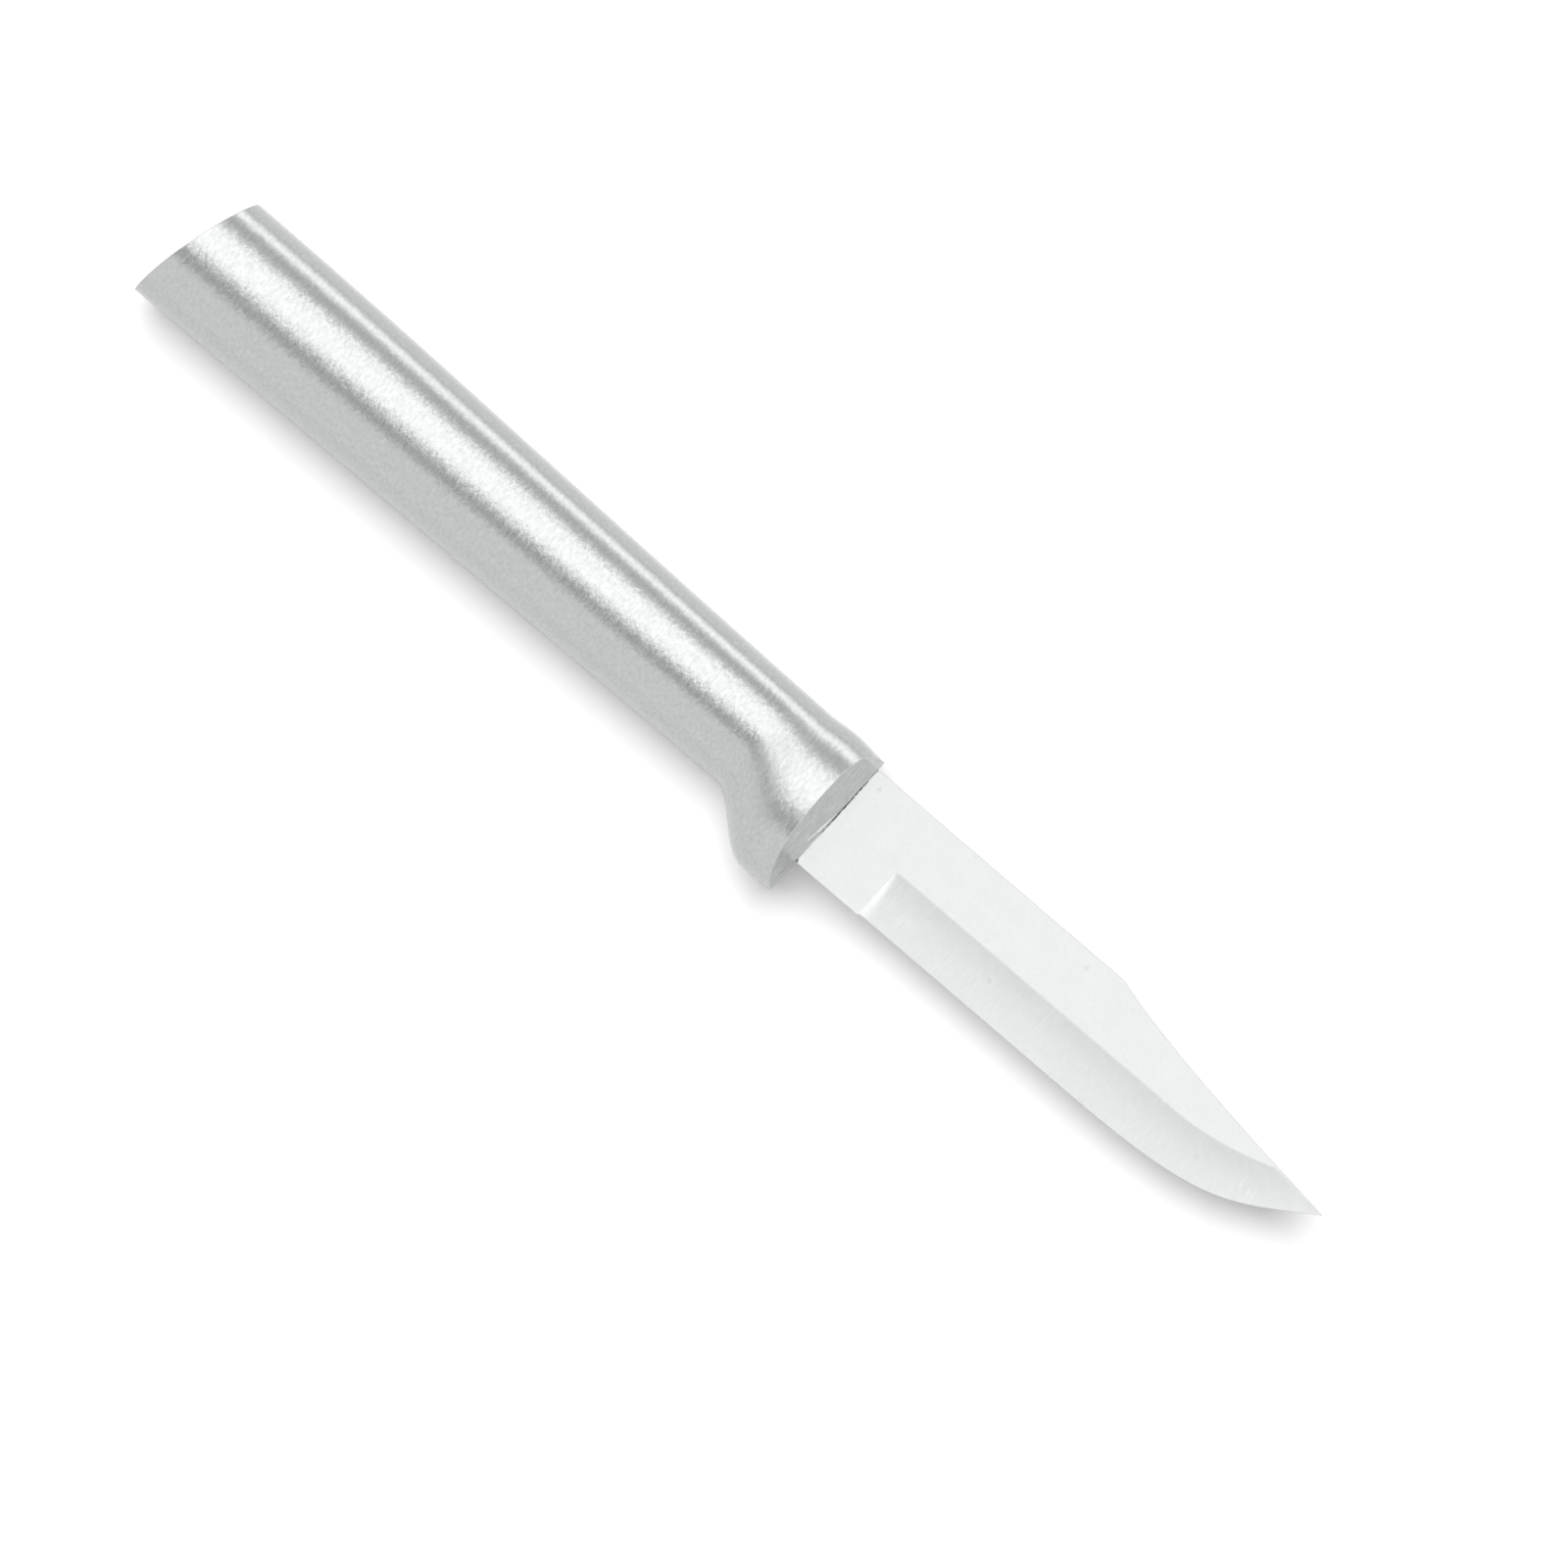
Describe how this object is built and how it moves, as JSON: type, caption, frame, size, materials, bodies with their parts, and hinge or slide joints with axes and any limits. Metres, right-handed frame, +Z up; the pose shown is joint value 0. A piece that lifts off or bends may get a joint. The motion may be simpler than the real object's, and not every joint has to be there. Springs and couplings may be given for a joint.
{
  "type": "paring knife",
  "caption": "Small kitchen knife: a hollow-ground steel blade with a clipped point, its tang locked in a cast, brushed aluminium handle with a finger guard.",
  "frame": {"origin": "under the middle of the knife lying on its side, on the surface that the handle rests on", "axes": "+X from the butt to the point, +Y towards the spine, +Z up, square to the blade's flats"},
  "size_m": [0.1714, 0.0214, 0.013],
  "materials": {
    "blade_steel": "satin flats, finely cross-ground hollows",
    "handle_aluminium": "brushed across the handle, satin"
  },
  "bodies": {
    "root": {"blade": "blade_steel", "handle": "handle_aluminium"}
  },
  "joints": []
}
